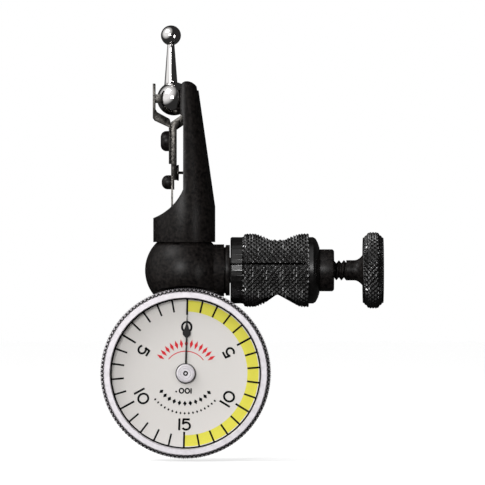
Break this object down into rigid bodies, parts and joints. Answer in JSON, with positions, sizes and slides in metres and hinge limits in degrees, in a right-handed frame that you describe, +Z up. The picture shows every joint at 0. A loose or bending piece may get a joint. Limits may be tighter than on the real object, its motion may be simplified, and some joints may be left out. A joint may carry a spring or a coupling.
{
  "type": "lever dial test indicator",
  "caption": "Lever test indicator: round dial below a tapered body, swivelling ball-tipped contact on top, and a knurled rod clamp with a thumb screw at the side.",
  "frame": {"origin": "centre of the rod hole, on the clamp's axis", "axes": "+X along the clamp to its thumb screw, +Z up to the contact ball, the dial faces -Y"},
  "size_m": [0.0448, 0.0124, 0.0684],
  "materials": {
    "black_satin": "satin blued",
    "black_knurl": "satin blued, knurled",
    "spring_steel": "satin",
    "nickel": "polished",
    "chrome": "mirror polished",
    "crystal": "polished",
    "dial": "matt enamel",
    "brass": "satin",
    "jewel": "polished",
    "pointer_black": "matt"
  },
  "bodies": {
    "clamp": {"clamp_sleeve": "black_knurl", "end_plug": "black_satin"},
    "plunger": {"plunger": "black_satin"},
    "thumb_screw": {"thumb_screw": "black_knurl"},
    "head": {"swivel_stud": "black_satin", "head_housing": "black_satin", "tapered_body": "black_satin", "lever_pivot_pin": "spring_steel", "sector_pivot_pin": "spring_steel", "dial_case": "black_satin", "back_cover": "nickel", "cover_screws": "nickel", "movement_plate": "brass", "plate_screws": "spring_steel", "bridge_pillars": "brass", "rear_bridge": "brass", "front_jewel": "jewel", "rear_jewel": "jewel", "hairspring_stud": "brass", "leaf_anchor_screw": "spring_steel"},
    "bezel": {"bezel": "nickel", "crystal": "crystal", "dial_plate": "dial"},
    "lever": {"lever_arm": "spring_steel", "clamp_jaw": "spring_steel", "friction_pads": "spring_steel", "jaw_screw": "black_satin", "leaf_screw": "black_satin", "push_pin": "spring_steel", "return_leaf": "spring_steel"},
    "contact": {"swivel_ball": "chrome", "contact_stem": "chrome", "contact_tip": "chrome"},
    "sector": {"sector_arm": "brass", "sector_gear": "brass", "sector_rivets": "spring_steel"},
    "pointer": {"pointer_arbor": "spring_steel", "hairspring_collet": "brass", "pointer_hub": "nickel", "pointer_hand": "pointer_black", "hairspring": "spring_steel"}
  },
  "joints": [
    {"name": "head_swivel", "type": "hinge", "parent": "clamp", "child": "head", "pos_m": [-0.0074, 0, 0], "axis": [1, 0, 0], "continuous": true},
    {"name": "bezel_turn", "type": "hinge", "parent": "head", "child": "bezel", "pos_m": [-0.01445, -0.003, -0.0162], "axis": [0, 1, 0], "continuous": true},
    {"name": "lever_swing", "type": "hinge", "parent": "head", "child": "lever", "pos_m": [-0.014, 0, 0.02455], "axis": [0, 1, 0], "range_deg": [-1.74, 1.74], "stiffness_Nm_per_rad": 0.08, "deforming": ["return_leaf"]},
    {"name": "contact_swivel", "type": "hinge", "parent": "lever", "child": "contact", "pos_m": [-0.01635, 0, 0.0271], "axis": [0, 1, 0], "range_deg": [-90, 30]},
    {"name": "sector_swing", "type": "hinge", "parent": "head", "child": "sector", "pos_m": [-0.0136, 0, 0.018], "axis": [0, 1, 0], "range_deg": [-6.2, 6.2]},
    {"name": "pointer_spin", "type": "hinge", "parent": "head", "child": "pointer", "pos_m": [-0.01445, 0, -0.0162], "axis": [0, 1, 0], "range_deg": [-182, 182], "deforming": ["hairspring"]},
    {"name": "plunger_slide", "type": "slide", "parent": "clamp", "child": "plunger", "axis": [1, 0, 0], "range_m": [-0.0015, 0.0006]},
    {"name": "screw_spin", "type": "hinge", "parent": "plunger", "child": "thumb_screw", "pos_m": [0.01, 0, 0], "axis": [1, 0, 0], "range_deg": [-684, 274]}
  ],
  "couplings": [
    {"joint": "sector_swing", "follows": "lever_swing", "ratio": 3.5192},
    {"joint": "pointer_spin", "follows": "lever_swing", "ratio": -103.57},
    {"joint": "screw_spin", "follows": "plunger_slide", "rad_per_m": 7915.8}
  ]
}
